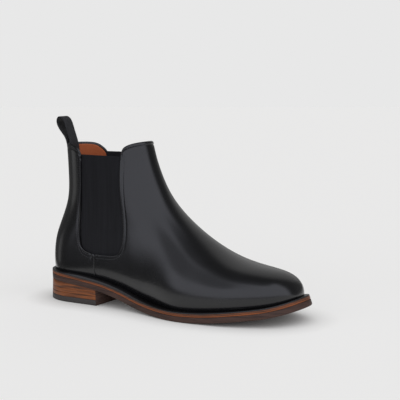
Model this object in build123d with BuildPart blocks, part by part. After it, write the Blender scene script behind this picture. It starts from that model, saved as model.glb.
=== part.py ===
"""Chelsea boot for the right foot, built up from the pieces a shoemaker would cut.

Frame: +X towards the toe, +Y towards the inner side of the foot, +Z up, millimetres.
The pieces are drawn with X = 0 at the back of the heel and Z = 0 on the ground, and are
moved at the end so that the origin lies on the ground under the middle of the boot.
"""
from build123d import *
from math import cos, pi, sqrt
import os

import numpy as np

# ---------------------------------------------------------------- driving dimensions
LEATHER = 1.8                   # outer leather
INTERLINING = 1.2               # reinforcing layer, elastic, toe puff and counter
LINING = 0.8                    # inner leather
INSOLE = 3.5
SOCK = 1.2                      # printed sock that lies on the insole
HEEL_PAD = 1.5
BACK_STRIP = 1.2                # strip sewn over the seam at the back
GLUE = 0.1                      # between one layer of the upper and the next

WELT = 4.2
OUTSOLE = 6.2
WELT_OVERHANG = 4.6             # how far the sole stands out past the upper
HEEL_OVERHANG = 3.0             # the same at the back of the heel
LASTING_MARGIN = 14.0           # width of the upper folded under the insole
FILLER_INSET = 6.0              # from the upper's outline to the cork filler

TOP_PIECE = 6.0                 # rubber under the heel
LIFT = 4.4                      # one layer of the stacked heel
HEEL_BREAST_X = 77.0
HEEL_INSET = 0.8                # heel inside the outsole's edge, at its top
HEEL_TAPER = 1.4                # and how much further in at the ground
HEEL_RAKE = 2.4                 # how far the heel reaches back at the ground
TOE_SLANT = 2.4                 # how far the outsole stands out past the welt at the toe
NAIL_PLACES = [(16, -16), (9, 0), (16, 16), (36, -24), (36, 24), (60, -24), (60, 24)]
NAIL_RADIUS = 0.9
NAIL_LENGTH = 14.0
NAIL_RECESS = 0.4

SHAFT_HALF_WIDTH = 30.5
TOE_LENGTH = 45.0               # length over which the toe rounds off
TOE_POWER = 3
UPPER_TOP = 192.0               # height of the blank the upper is cut from
GORE_OVERLAP = 7.0              # elastic sewn in behind the leather
EDGE_TURN = 4.0                 # leather folded over at the top, where the canvas stops
LINING_DROP = 2.0               # lining's edge below the leather's

TAB_WIDTH = 14.0
TAB_STRAP = 1.6                 # thickness of the strap
TAB_PIVOT = (22.4, 174.6)       # where the strap bends, X and Z
TAB_TOP = (8.4, 200.2)         # top of the loop
TAB_LEG_SPREAD = 3.0            # from the loop's middle line to a leg, at its foot
TAB_BULGE = 4.8                 # the same, where the loop is widest
TAB_SEWN_LENGTH = 16.0

STRIP_FOOT = 8.0                # half width of the back strip at the welt
STRIP_HEAD = 6.0                # and at the top
STRIP_FOOT_Z = 33.8             # just above the welt

PAD_X = 44.0
PAD_LENGTH = 62.0
PAD_WIDTH = 38.0
SHANK_SIZE = (105.0, 13.0, 1.6)
SHANK_X = 100.0

SECTIONS = 12                   # cross-sections of the upper, from sole to top
SECTION_POINTS = 10             # points on one side of a cross-section
CURVE_SAMPLES = 160
REACH = 75.0                    # longer than any piece is wide

# side view of the upper, X and Z, from below the sole to above the top edge
HEEL_POINTS = [(4.2, 14), (4.0, 31), (3.4, 43), (3.6, 54), (5.8, 69), (11.2, 84), (17.0, 98),
               (20.9, 111), (22.4, 124), (22.3, 138), (21.7, 152), (20.7, 168), (19.3, 194)]
INSTEP_POINTS = [(297.8, 4), (299.4, 16), (299.4, 26), (296.6, 36), (288.4, 45.5), (270, 52),
                 (245, 56.4), (219.5, 64.6), (194, 78.6), (169, 97.4), (148.8, 118.6),
                 (136.8, 139.6), (129.6, 158), (125.4, 173), (120.4, 194)]
# top of the welt: X and height
FEATHER_POINTS = [(-12, 31.6), (8, 32.8), (30, 32.4), (62, 29.4), (86, 26.2), (110, 21.0),
                  (134, 14.9), (160, 11.4), (188, 10.4), (216, 11.8), (248, 15.6), (272, 19.0),
                  (292, 23.6), (304, 27.8), (316, 33.0)]
# plan view: X and distance from the heel's axis
OUTER_POINTS = [(-12, 30.6), (35, 31.6), (75, 32.0), (112, 34.6), (151, 42.4), (187, 50.6),
                (217, 50.2), (247, 46.7), (270, 40.4), (288, 37.4), (300, 32.8), (312, 27)]
INNER_POINTS = [(-12, 30.6), (35, 31.4), (75, 29.4), (112, 29.8), (151, 36.8), (187, 45.6),
                (217, 48.4), (247, 45.2), (274, 38.6), (312, 29)]
AXIS_POINTS = [(-12, 0), (60, 0), (150, 0), (215, 1.4), (260, 4), (310, 9)]

# side view of the cuts
SEAM_X = 73.0                   # seam from the elastic down to the welt
GORE_BOTTOM_Z = 55.6
GORE_BACK = [(52.4, 200), (52.4, 161), (52.4, 112), (53.9, 70)]
GORE_BACK_CORNER = (59.0, 58.2)
GORE_FRONT = [(106.0, 200), (105.6, 161), (107.0, 116), (110.5, 76)]
GORE_FRONT_CORNER = (104.0, 59.0)
GORE_TOP_Z = 159.8
VAMP_TOP = [(105.4, 163.5), (107.2, 169.8), (112.8, 173.8), (120.5, 176.2), (140.0, 178.8)]
QUARTER_TOP = [(0.0, 169.8), (18.0, 171.8), (32.0, 171.2), (40.0, 168.4), (46.0, 163.8), (50.6, 161.0),
               (58.0, 160.0)]
COUNTER_EDGE = [(-5.0, 80.0), (30.0, 76.0), (60.0, 58.0), (84.0, 40.0), (92.0, 10.0)]
PUFF_X = 248.0


# ---------------------------------------------------------------- smooth curves
def graph(points):
    """A smooth curve through (position, value) points, as a function of position."""
    line = Spline(*points)
    samples = [line @ (i / CURVE_SAMPLES) for i in range(CURVE_SAMPLES + 1)]
    positions = [sample.X for sample in samples]
    values = [sample.Y for sample in samples]
    return lambda position: float(np.interp(position, positions, values))


feather = graph(FEATHER_POINTS)
outer_breadth = graph(OUTER_POINTS)
inner_breadth = graph(INNER_POINTS)
foot_axis = graph(AXIS_POINTS)


def ease(t):
    """0 to 1 with a soft start and end."""
    t = min(max(t, 0.0), 1.0)
    return t * t * (3 - 2 * t)


def rounding(distance, length, power):
    """Share of the full breadth at a distance behind a rounded end."""
    t = min(max(distance / length, 0.0), 1.0)
    return sqrt(max(1 - (1 - t) ** power, 0.0))


class Envelope:
    """The closed shape of the upper, `inset` mm inside the leather's outer surface."""

    def __init__(self, inset):
        self.inset = inset
        self.back = self.shifted(HEEL_POINTS, inset)
        self.front = self.shifted(INSTEP_POINTS, inset)

    def shifted(self, points, inset):
        """Samples of a profile, moved inwards square to the profile."""
        line = Spline(*points)
        inwards = 1 if points is HEEL_POINTS else -1
        samples = []
        for i in range(CURVE_SAMPLES + 1):
            point = line @ (i / CURVE_SAMPLES)
            along = line % (i / CURVE_SAMPLES)
            samples.append((point.X + inwards * inset * along.Y, point.Y - inwards * inset * along.X))
        return samples

    def at(self, samples, share):
        """The point at a share of the length of a sampled profile."""
        index = share * CURVE_SAMPLES
        steps = range(CURVE_SAMPLES + 1)
        x = np.interp(index, steps, [sample[0] for sample in samples])
        z = np.interp(index, steps, [sample[1] for sample in samples])
        return float(x), float(z)

    def x_at(self, samples, z):
        return float(np.interp(z, [sample[1] for sample in samples], [sample[0] for sample in samples]))

    def top_at(self, x):
        """Height of the instep profile above a station."""
        falling = [sample for sample in self.front if sample[1] > 22]
        falling = sorted(falling)
        return float(np.interp(x, [sample[0] for sample in falling], [sample[1] for sample in falling]))

    def breadth(self, x, z, half_breadth):
        """Distance from the boot's middle surface to its side at a point of the side view."""
        behind = x - self.x_at(self.back, z)
        ahead = self.x_at(self.front, z) - x
        heel_length = 38 + 16 * ease((z - 30) / 110)
        heel = rounding(behind, heel_length, 2.2)
        # the foot: broadest above the welt, higher up at the waist, domed on top, rounded at the toe
        low, high = feather(x), self.top_at(x)
        waist = ease((x - 40) / 50) * (1 - ease((x - 145) / 45))
        widest = low + min((0.2 + 0.14 * waist) * (high - low), 14 + 12 * waist)
        rise = min(max((z - widest) / max(high - widest, 0.5), 0.0), 1.0)
        dome_power = 2.1 + 0.5 * ease((x - 190) / 80)
        dome = sqrt(1 - rise ** dome_power)
        drawn_in = 0.045 + 0.115 * waist
        tuck = 1 - drawn_in * min(max((widest - z) / (widest - low), 0.0), 1.3) ** 2
        toe_x = self.x_at(self.front, min(z, 24))
        toe = rounding(toe_x - x, TOE_LENGTH, TOE_POWER)
        foot = (half_breadth(x) - self.inset) * heel * dome * tuck * toe
        # the shaft: an oval of one width
        shaft = (SHAFT_HALF_WIDTH - self.inset) * heel * rounding(ahead, 54, 2.6)
        share = ease((z - 34) / 100)
        return foot + (shaft - foot) * share

    def section(self, share):
        """The plane of one cross-section and the outline in it."""
        back_x, back_z = self.at(self.back, share)
        front_x, front_z = self.at(self.front, share)
        run = Vector(front_x - back_x, 0, front_z - back_z)
        plane = Plane(origin=(back_x, 0, back_z), x_dir=run, z_dir=Vector(-run.Z, 0, run.X))
        outline = []
        for i in range(2 * SECTION_POINTS):
            turn = pi * i / SECTION_POINTS
            along = (1 - cos(turn)) / 2
            x = back_x + run.X * along
            z = back_z + run.Z * along
            centre = foot_axis(x) * (1 - ease(z / 130))
            side = -1 if i <= SECTION_POINTS else 1
            half_breadth = outer_breadth if side < 0 else inner_breadth
            y = centre * ease(along * 3) + side * self.breadth(x, z, half_breadth)
            outline.append((run.length * along, y))
        return plane, outline


def side_region(lower, upper_z):
    """Outline of the side view above a curve, for a sketch on the XZ plane."""
    first, last = lower[0], lower[-1]
    Spline(*lower)
    Polyline(last, (last[0], upper_z), (first[0], upper_z), first)


def blank(inset, rise):
    """Solid shape of the upper at an inset, standing `rise` mm above the welt."""
    envelope = Envelope(inset)
    with BuildPart() as shape:
        for k in range(SECTIONS + 1):
            plane, outline = envelope.section(k / SECTIONS)
            with BuildSketch(plane):
                with BuildLine():
                    Spline(*outline, periodic=True)
                make_face()
        loft()
        with BuildSketch(Plane.XZ):
            with BuildLine():
                side_region([(x, z + rise) for x, z in FEATHER_POINTS], UPPER_TOP)
            make_face()
        extrude(amount=REACH, both=True, mode=Mode.INTERSECT)
    return shape.part


def ribbon(bottom, top, start=-12.0, end=316.0):
    """Solid band that follows the welt's top surface, between two heights from it."""
    stations = [(x, z) for x, z in FEATHER_POINTS]
    low = [(x, z + bottom) for x, z in stations]
    high = [(x, z + top) for x, z in reversed(stations)]
    with BuildPart() as band:
        with BuildSketch(Plane.XZ):
            with BuildLine():
                Spline(*low)
                Line(low[-1], high[0])
                Spline(*high)
                Line(high[-1], low[0])
            make_face()
        extrude(amount=REACH, both=True)
    return band.part


def sole_outline(grow, forward=0.0, back=0.0):
    """Plan view points of the foot's outline, moved outwards by `grow`, and further at the ends."""
    heel_x = HEEL_POINTS[1][0] - grow * (HEEL_OVERHANG / WELT_OVERHANG if grow > 0 else 1) - back
    toe_x = INSTEP_POINTS[1][0] + grow + forward
    points = []
    for i in range(2 * SECTION_POINTS):
        turn = pi * i / SECTION_POINTS
        x = heel_x + (toe_x - heel_x) * (1 - cos(turn)) / 2
        side = -1 if i <= SECTION_POINTS else 1
        half_breadth = outer_breadth if side < 0 else inner_breadth
        ends = rounding(x - heel_x, 38 + grow, 2.2) * rounding(toe_x - x, TOE_LENGTH + grow, TOE_POWER)
        points.append((x, foot_axis(x) + side * (half_breadth(x) + grow) * ends))
    return points


def sole_plan(grow, forward=0.0, height=70.0):
    """Upright block with the outline of the sole."""
    with BuildPart() as block:
        with BuildSketch():
            with BuildLine():
                Spline(*sole_outline(grow, forward), periodic=True)
            make_face()
        extrude(amount=height)
    return block.part


# ---------------------------------------------------------------- blanks and layers
MIDDLE = LEATHER + GLUE
MIDDLE_END = MIDDLE + INTERLINING
UPPER = MIDDLE_END + GLUE + LINING
surface = blank(0, 0)
room = blank(UPPER, UPPER)
lasting_window = sole_plan(-LASTING_MARGIN).intersect(ribbon(-1, UPPER + 2))


def layer(outside, inside):
    """One layer of the upper, with the fold under the insole left open in the middle."""
    with BuildPart() as shell:
        add(outside)
        add(inside, mode=Mode.SUBTRACT)
        add(lasting_window, mode=Mode.SUBTRACT)
    return shell.part


leather_layer = layer(surface, blank(LEATHER, LEATHER))
middle_layer = layer(blank(MIDDLE, MIDDLE), blank(MIDDLE_END, MIDDLE_END))
lining_layer = layer(blank(UPPER - LINING, UPPER - LINING), room)


# ---------------------------------------------------------------- cuts in side view
def side_cutter(draw, side=0):
    """Prism of a side view outline: both sides (0), outer side (1) or inner side (-1)."""
    with BuildPart() as prism:
        with BuildSketch(Plane.XZ):
            with BuildLine():
                draw()
            make_face()
        if side == 0:
            extrude(amount=REACH, both=True)
        else:
            extrude(amount=side * REACH)
    return prism.part


def grown(points, dx):
    return [(x + dx, z) for x, z in points]


def vamp_outline(overlap=0.0):
    """Front part: shaft front, instep and toe, with the side seam below the elastic."""
    front = grown(GORE_FRONT, -overlap)
    seam_top = (SEAM_X, GORE_BOTTOM_Z + overlap)
    corner = (GORE_FRONT_CORNER[0] - overlap, GORE_FRONT_CORNER[1] + overlap)
    Polyline(front[0], (330, front[0][1]), (330, -5), (SEAM_X, -5), seam_top)
    Spline(seam_top, (90, GORE_BOTTOM_Z + overlap + 0.3), corner, front[3], tangents=((1, 0), (0, 1)))
    Spline(front[3], front[2], front[1], front[0])


def quarter_outline(overlap=0.0):
    """Back part: heel and shaft back, behind the elastic and the side seam."""
    back = grown(GORE_BACK, overlap)
    seam_top = (SEAM_X, GORE_BOTTOM_Z + overlap)
    corner = (GORE_BACK_CORNER[0] + overlap, GORE_BACK_CORNER[1] + overlap)
    Polyline(back[0], (-30, back[0][1]), (-30, -5), (SEAM_X, -5), seam_top)
    Spline(seam_top, corner, back[3], tangents=((-1, 0), (0, 1)))
    Spline(back[3], back[2], back[1], back[0])


def vamp_top_outline():
    """Everything above the front's top edge."""
    Spline(*VAMP_TOP)
    Polyline(VAMP_TOP[-1], (140, 230), (90, 230), (90, VAMP_TOP[0][1] - 3), VAMP_TOP[0])


def quarter_top_outline():
    """Everything above the back's top edge."""
    Spline(*QUARTER_TOP)
    last = QUARTER_TOP[-1]
    Polyline(last, (75, last[1]), (75, 230), (-30, 230), (-30, QUARTER_TOP[0][1]), QUARTER_TOP[0])


def gore_outline():
    """Elastic: its seen part and the margins sewn in behind the leather."""
    bottom = GORE_BOTTOM_Z - GORE_OVERLAP
    back_x = GORE_BACK[2][0] - GORE_OVERLAP
    front_top = (GORE_FRONT[1][0] + GORE_OVERLAP, GORE_TOP_Z)
    front_low = (GORE_FRONT[3][0] + GORE_OVERLAP, 70)
    Polyline((back_x, GORE_TOP_Z), (back_x, 66), (back_x + 10, bottom), (104, bottom), front_low,
             (GORE_FRONT[2][0] + GORE_OVERLAP, 116), front_top, (back_x, GORE_TOP_Z))


def counter_outline():
    Polyline((-30, 84), COUNTER_EDGE[0])
    Spline(*COUNTER_EDGE)
    Polyline(COUNTER_EDGE[-1], (-30, 10), (-30, 84))


def puff_outline():
    Spline((PUFF_X, 80), (PUFF_X - 5, 40), (PUFF_X + 6, -5))
    Polyline((PUFF_X + 6, -5), (330, -5), (330, 80), (PUFF_X, 80))


vamp_side = side_cutter(vamp_outline)
quarter_side = side_cutter(quarter_outline)
above_vamp = side_cutter(vamp_top_outline)
above_quarter = side_cutter(quarter_top_outline)
TURNED_EDGE = Location((0, 0, -EDGE_TURN))
above_interlining = [above_vamp.moved(TURNED_EDGE), above_quarter.moved(TURNED_EDGE)]
LINING_EDGE = Location((0, 0, -LINING_DROP))
above_lining = [above_vamp.moved(LINING_EDGE), above_quarter.moved(LINING_EDGE)]
gore_side = side_cutter(gore_outline)
counter_side = side_cutter(counter_outline)
puff_side = side_cutter(puff_outline)
outer_half = side_cutter(lambda: Polyline((-60, -20), (400, -20), (400, 300), (-60, 300), (-60, -20)), 1)
inner_half = side_cutter(lambda: Polyline((-60, -20), (400, -20), (400, 300), (-60, 300), (-60, -20)), -1)


def panel(stock, keep, cuts=()):
    """A piece cut from a layer: inside every shape in `keep`, outside every one in `cuts`."""
    with BuildPart() as piece:
        add(stock)
        for shape in keep:
            add(shape, mode=Mode.INTERSECT)
        for shape in cuts:
            add(shape, mode=Mode.SUBTRACT)
    return piece.part


# ---------------------------------------------------------------- the upper
vamp = panel(leather_layer, [vamp_side], [above_vamp])
quarter_lateral = panel(leather_layer, [quarter_side, outer_half], [above_quarter])
quarter_medial = panel(leather_layer, [quarter_side, inner_half], [above_quarter])

gore_lateral = panel(middle_layer, [gore_side, outer_half])
gore_medial = panel(middle_layer, [gore_side, inner_half])
toe_puff = panel(middle_layer, [puff_side])
heel_counter = panel(middle_layer, [counter_side], [gore_side])
vamp_interlining = panel(
    middle_layer, [vamp_side], [above_interlining[0], gore_side, puff_side, counter_side])
quarter_interlining = panel(
    middle_layer, [quarter_side], [above_interlining[1], gore_side, counter_side])

vamp_lining = panel(lining_layer, [vamp_side], [above_lining[0]])
quarter_lining = panel(lining_layer, [quarter_side], [above_lining[1]])

# strip over the seam where the two quarters meet
strip_surface = blank(-BACK_STRIP, 0)
with BuildPart() as back_strip:
    with BuildSketch(Plane.YZ):
        with BuildLine():
            Polyline((-STRIP_FOOT, STRIP_FOOT_Z), (STRIP_FOOT, STRIP_FOOT_Z), (STRIP_HEAD, 120),
                     (STRIP_HEAD, 230), (-STRIP_HEAD, 230), (-STRIP_HEAD, 120), (-STRIP_FOOT, STRIP_FOOT_Z))
        make_face()
    extrude(amount=60)
    add(strip_surface, mode=Mode.INTERSECT)
    add(surface, mode=Mode.SUBTRACT)
    add(above_quarter, mode=Mode.SUBTRACT)


# ---------------------------------------------------------------- inside the boot
insole = panel(room, [ribbon(UPPER - 1, UPPER + INSOLE)])
sock_lining = panel(room, [ribbon(UPPER + INSOLE, UPPER + INSOLE + SOCK)])

with BuildPart() as heel_pad:
    add(ribbon(UPPER + INSOLE + SOCK, UPPER + INSOLE + SOCK + HEEL_PAD))
    with BuildSketch():
        with Locations((PAD_X, 0)):
            SlotOverall(PAD_LENGTH, PAD_WIDTH)
    extrude(amount=80, mode=Mode.INTERSECT)

with BuildPart() as shank:
    add(ribbon(UPPER - SHANK_SIZE[2], UPPER))
    with BuildSketch():
        with Locations((SHANK_X, 0)):
            SlotOverall(SHANK_SIZE[0], SHANK_SIZE[1])
    extrude(amount=80, mode=Mode.INTERSECT)

with BuildPart() as cork_filler:
    add(sole_plan(-FILLER_INSET))
    add(ribbon(-WELT, 0), mode=Mode.INTERSECT)
    add(sole_plan(-LASTING_MARGIN).intersect(ribbon(-1, UPPER)))
    add(shank.part, mode=Mode.SUBTRACT)


# ---------------------------------------------------------------- the sole and heel
with BuildPart() as welt:
    add(sole_plan(WELT_OVERHANG))
    add(ribbon(-WELT, 0), mode=Mode.INTERSECT)
    add(sole_plan(-FILLER_INSET), mode=Mode.SUBTRACT)

with BuildPart() as outsole:
    add(sole_plan(WELT_OVERHANG, TOE_SLANT))
    add(ribbon(-WELT - OUTSOLE, -WELT), mode=Mode.INTERSECT)

# the heel's block, narrower at the ground, under the outsole and behind the breast
with BuildPart() as heel_block:
    seat = WELT_OVERHANG - HEEL_INSET
    for height, grow, back in ((0, seat - HEEL_TAPER, HEEL_RAKE), (30, seat, 0)):
        with BuildSketch(Plane.XY.offset(height)):
            with BuildLine():
                Spline(*sole_outline(grow, back=back), periodic=True)
            make_face()
    loft()
    add(ribbon(-WELT - OUTSOLE, 60), mode=Mode.SUBTRACT)
    with BuildSketch():
        with Locations((HEEL_BREAST_X, 0)):
            Rectangle(400, 200, align=(Align.MIN, Align.CENTER))
    extrude(amount=60, mode=Mode.SUBTRACT)

# nails driven up through the rubber into the lifts
with BuildPart() as heel_nails:
    with BuildSketch(Plane.XY.offset(NAIL_RECESS)):
        with Locations(*NAIL_PLACES):
            Circle(NAIL_RADIUS)
    extrude(amount=NAIL_LENGTH)

with BuildPart() as nail_holes:
    with BuildSketch():
        with Locations(*NAIL_PLACES):
            Circle(NAIL_RADIUS)
    extrude(amount=NAIL_RECESS + NAIL_LENGTH)


def heel_layer(low, high):
    """One layer of the heel between two heights, pierced for the nails."""
    with BuildPart() as slab:
        with BuildSketch(Plane.XY.offset(low)):
            Rectangle(400, 200)
        extrude(amount=high - low)
        add(heel_block.part, mode=Mode.INTERSECT)
        add(nail_holes.part, mode=Mode.SUBTRACT)
    return slab.part


top_piece = heel_layer(0, TOP_PIECE)
heel_lift_1 = heel_layer(TOP_PIECE, TOP_PIECE + LIFT)
heel_lift_2 = heel_layer(TOP_PIECE + LIFT, TOP_PIECE + 2 * LIFT)
heel_lift_3 = heel_layer(TOP_PIECE + 2 * LIFT, 40)


# ---------------------------------------------------------------- the pull tab
def tab_outline(grow):
    """Side view of the loop, `grow` mm outside the strap's middle line."""
    foot, top = Vector(*TAB_PIVOT), Vector(*TAB_TOP)
    up = (top - foot).normalized()
    across = Vector(up.Y, -up.X)
    length = (top - foot).length - TAB_STRAP / 2
    shares = ((-0.2, TAB_LEG_SPREAD), (0.12, TAB_LEG_SPREAD * 0.8), (0.45, TAB_BULGE * 0.8),
              (0.75, TAB_BULGE), (0.93, TAB_BULGE * 0.66))
    left = [foot + up * length * share - across * (spread + grow) for share, spread in shares]
    right = [foot + up * length * share + across * (spread + grow) for share, spread in reversed(shares)]
    crown = foot + up * (length + grow)
    points = [(point.X, point.Y) for point in left + [crown] + right]
    Spline(*points)
    Line(points[-1], points[0])


with BuildPart() as pull_tab:
    with BuildSketch(Plane.XZ):
        with BuildLine():
            tab_outline(TAB_STRAP / 2)
        make_face()
        with BuildLine():
            tab_outline(-TAB_STRAP / 2)
        make_face(mode=Mode.SUBTRACT)
    extrude(amount=TAB_WIDTH / 2, both=True)
    with BuildSketch(Plane.XY.offset(TAB_PIVOT[1])):
        Rectangle(200, 200)
    extrude(amount=-40, mode=Mode.SUBTRACT)


def tab_end(outside, inside):
    """Sewn end of the strap, lying on the back of the boot between two blanks."""
    with BuildPart() as end:
        add(outside)
        add(inside, mode=Mode.SUBTRACT)
        with BuildSketch(Plane.YZ.offset(-20)):
            with Locations((0, QUARTER_TOP[1][1] - TAB_SEWN_LENGTH)):
                Rectangle(TAB_WIDTH, TAB_SEWN_LENGTH, align=(Align.CENTER, Align.MIN))
        extrude(amount=80, mode=Mode.INTERSECT)
        add(above_quarter, mode=Mode.SUBTRACT)
    return end.part


tab_end_outer = tab_end(blank(-BACK_STRIP - TAB_STRAP, 0), strip_surface)
tab_end_inner = tab_end(room, blank(UPPER + TAB_STRAP, 0))


# ---------------------------------------------------------------- export
pieces = {
    "vamp": vamp,
    "quarter_lateral": quarter_lateral,
    "quarter_medial": quarter_medial,
    "back_strip": back_strip.part,
    "gore_lateral": gore_lateral,
    "gore_medial": gore_medial,
    "toe_puff": toe_puff,
    "heel_counter": heel_counter,
    "vamp_interlining": vamp_interlining,
    "quarter_interlining": quarter_interlining,
    "vamp_lining": vamp_lining,
    "quarter_lining": quarter_lining,
    "insole": insole,
    "sock_lining": sock_lining,
    "heel_pad": heel_pad.part,
    "shank": shank.part,
    "cork_filler": cork_filler.part,
    "welt": welt.part,
    "outsole": outsole.part,
    "heel_lift_1": heel_lift_1,
    "heel_lift_2": heel_lift_2,
    "heel_lift_3": heel_lift_3,
    "top_piece": top_piece,
    "heel_nails": heel_nails.part,
    "pull_tab": pull_tab.part,
    "tab_end_outer": tab_end_outer,
    "tab_end_inner": tab_end_inner,
}

# the welt reaches furthest along and across the boot
footprint = welt.part.bounding_box()
to_origin = Location((-footprint.center().X, -footprint.center().Y, 0))

os.makedirs("parts", exist_ok=True)
for name, piece in pieces.items():
    placed = piece.moved(to_origin)
    placed.label = name
    export_step(placed, "parts/" + name + ".step")
print("moved by", to_origin.position)
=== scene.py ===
"""Chelsea boot: the visual pieces, built round the CAD frame.  Blender 4.5, metres.

Shapes are worked out in the shoemaker's frame of the CAD model, in millimetres, with X = 0 at
the back of the heel, and `to_frame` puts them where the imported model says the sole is.
"""
import math

import bmesh
import bpy
import numpy as np
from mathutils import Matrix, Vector


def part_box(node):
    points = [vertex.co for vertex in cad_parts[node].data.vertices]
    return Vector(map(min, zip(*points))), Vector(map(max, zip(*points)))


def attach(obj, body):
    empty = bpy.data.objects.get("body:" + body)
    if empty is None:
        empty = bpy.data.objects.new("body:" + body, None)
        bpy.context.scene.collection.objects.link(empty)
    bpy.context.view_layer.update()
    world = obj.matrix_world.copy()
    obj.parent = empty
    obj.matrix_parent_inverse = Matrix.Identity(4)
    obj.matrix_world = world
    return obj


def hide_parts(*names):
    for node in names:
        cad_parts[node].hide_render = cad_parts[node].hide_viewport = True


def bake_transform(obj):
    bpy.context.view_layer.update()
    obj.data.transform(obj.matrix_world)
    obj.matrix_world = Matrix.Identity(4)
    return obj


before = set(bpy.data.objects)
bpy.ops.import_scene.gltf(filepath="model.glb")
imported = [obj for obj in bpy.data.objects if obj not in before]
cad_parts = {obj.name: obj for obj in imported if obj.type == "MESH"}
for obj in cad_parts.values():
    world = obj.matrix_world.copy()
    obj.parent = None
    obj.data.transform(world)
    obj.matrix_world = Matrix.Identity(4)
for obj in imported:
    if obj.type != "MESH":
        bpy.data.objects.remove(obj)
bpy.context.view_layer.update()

# ---------------- sizes, in millimetres
MM = 0.001
LEATHER = 1.8
MIDDLE = 1.9                    # depth of the elastic and canvas under the surface
ELASTIC = 1.2
CANVAS = 1.0
LINING_DEPTH = 3.2
LINING = 0.8
UPPER = 4.0                     # all the layers together
LINING_DROP = 2.0               # lining below the top edge
LINING_SHORT = 1.2              # the back lining stops short of the quarter's front edge
CANVAS_DROP = 4.0               # canvas below the top edge
CANVAS_MARGIN = 7.5             # and clear of the elastic
TUCK_IN = 1.5                   # leather below the top of the welt
RAND = 1.3                      # black layer on top of the welt
WELT_LINE = 1.1                 # bright line at its foot
WELT = 4.2
OUTSOLE = 6.2
WELT_OVERHANG = 4.6
HEEL_OVERHANG = 3.0
TOP_PIECE = 6.0
LIFT = 4.4
HEEL_BREAST_X = 77.0
HEEL_INSET = 0.8
HEEL_TAPER = 1.4                # narrower at the ground than under the sole
HEEL_RAKE = 2.4                 # how far the back leans out at the ground
HEEL_BLOCK = 30.0               # height over which the taper runs
HEEL_SEAT = 20.0                # height taken for the taper where the heel meets the sole
SHAFT_HALF_WIDTH = 30.5
SHAFT_LENGTH, SHAFT_POWER = 54, 2.6             # rounding of the shaft's front, in plan view
TOE_LENGTH, TOE_POWER = 45.0, 3                 # the same of the toe
HEEL_LENGTH, HEEL_POWER = 38, 2.2               # and of the heel
BACK_STRIP = 1.2
STRIP_FOOT = 8.0                # half its breadth low down
STRIP_HEAD = 6.0                # and at the top
STRIP_TOP_Z = 170.4
TAB_WIDTH = 14.0
TAB_STRAP = 1.6                 # thickness of the strap
TAB_PIVOT = (22.4, 174.6)
TAB_TOP = (8.4, 200.2)
TAB_LEG_SPREAD = 3.0            # half the gap between the strap's legs, near their sewn ends
TAB_BULGE = 4.8                 # and at its widest
TAB_BACK_RADIUS = 27.0          # of the boot's round back, where the strap is sewn on

# side view of the upper, X and Z
HEEL_POINTS = [(4.2, 14), (4.0, 31), (3.4, 43), (3.6, 54), (5.8, 69), (11.2, 84), (17.0, 98),
               (20.9, 111), (22.4, 124), (22.3, 138), (21.7, 152), (20.7, 168), (19.3, 194)]
INSTEP_POINTS = [(297.8, 4), (299.4, 16), (299.4, 26), (296.6, 36), (288.4, 45.5), (270, 52),
                 (245, 56.4), (219.5, 64.6), (194, 78.6), (169, 97.4), (148.8, 118.6),
                 (136.8, 139.6), (129.6, 158), (125.4, 173), (120.4, 194)]
FEATHER_POINTS = [(-12, 31.6), (8, 32.8), (30, 32.4), (62, 29.4), (86, 26.2), (110, 21.0),
                  (134, 14.9), (160, 11.4), (188, 10.4), (216, 11.8), (248, 15.6), (272, 19.0),
                  (292, 23.6), (304, 27.8), (316, 33.0)]
OUTER_POINTS = [(-12, 30.6), (35, 31.6), (75, 32.0), (112, 34.6), (151, 42.4), (187, 50.6),
                (217, 50.2), (247, 46.7), (270, 40.4), (288, 37.4), (300, 32.8), (312, 27)]
INNER_POINTS = [(-12, 30.6), (35, 31.4), (75, 29.4), (112, 29.8), (151, 36.8), (187, 45.6),
                (217, 48.4), (247, 45.2), (274, 38.6), (312, 29)]
AXIS_POINTS = [(-12, 0), (60, 0), (150, 0), (215, 1.4), (260, 4), (310, 9)]

SEAM_X = 73.0
SEAM_LAP = 0.35                 # by which the vamp and quarter meet under the elastic
GORE_BOTTOM_Z = 55.6
GORE_TOP_Z = 161.6
GORE_BACK = [(54.8, 161), (54.0, 112), (54.8, 70)]
GORE_BACK_CORNER = (59.4, 58.2)
GORE_FRONT = [(105.6, 161), (107.0, 116), (110.5, 76)]
GORE_FRONT_CORNER = (104.0, 59.0)
GORE_OVERLAP = 6.0
VAMP_TOP = [(105.4, 163.5), (107.2, 169.8), (112.8, 173.8), (120.5, 176.2), (140.0, 178.8)]
QUARTER_TOP = [(0.0, 170.2), (18.0, 171.8), (32.0, 172.0), (42.0, 171.2), (48.0, 169.4),
               (52.6, 165.8), (54.8, 160.4)]
INNER_QUARTER_TOP = [(0.0, 170.2), (18.0, 171.8), (32.0, 171.8), (40.0, 170.2), (45.6, 166.8),
                     (49.6, 163.0), (51.2, 160.4)]

# leather raised beside its edges and drawn down by the stitches: height, place and breadth
SEAM_BEAD = (0.25, 2.3, 1.1)
SEAM_GROOVE = (0.40, 4.4, 0.9)
SEAM_SHARE, SEAM_ROWS = 0.07, 15                # fine rows of mesh for them at each edge
EDGE_ROWS = np.array([0, 0.22, 0.6, 1.0])       # rows of a piece's rounded border, mm from its edge
EDGE_ROUNDING = [0.5, 0.2, 0.05, 0.0]           # share of the thickness taken off each face there

# where along X the waist begins, over what length it deepens, where it ends and how it fades
UPPER_WAIST = (40, 50, 145, 45)
WELT_WAIST = (20, 40, 115, 55)

LATERAL, MEDIAL = -1, 1
SOLE_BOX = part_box("welt")
HEEL_BACK_X = HEEL_POINTS[1][0] - HEEL_OVERHANG


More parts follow.
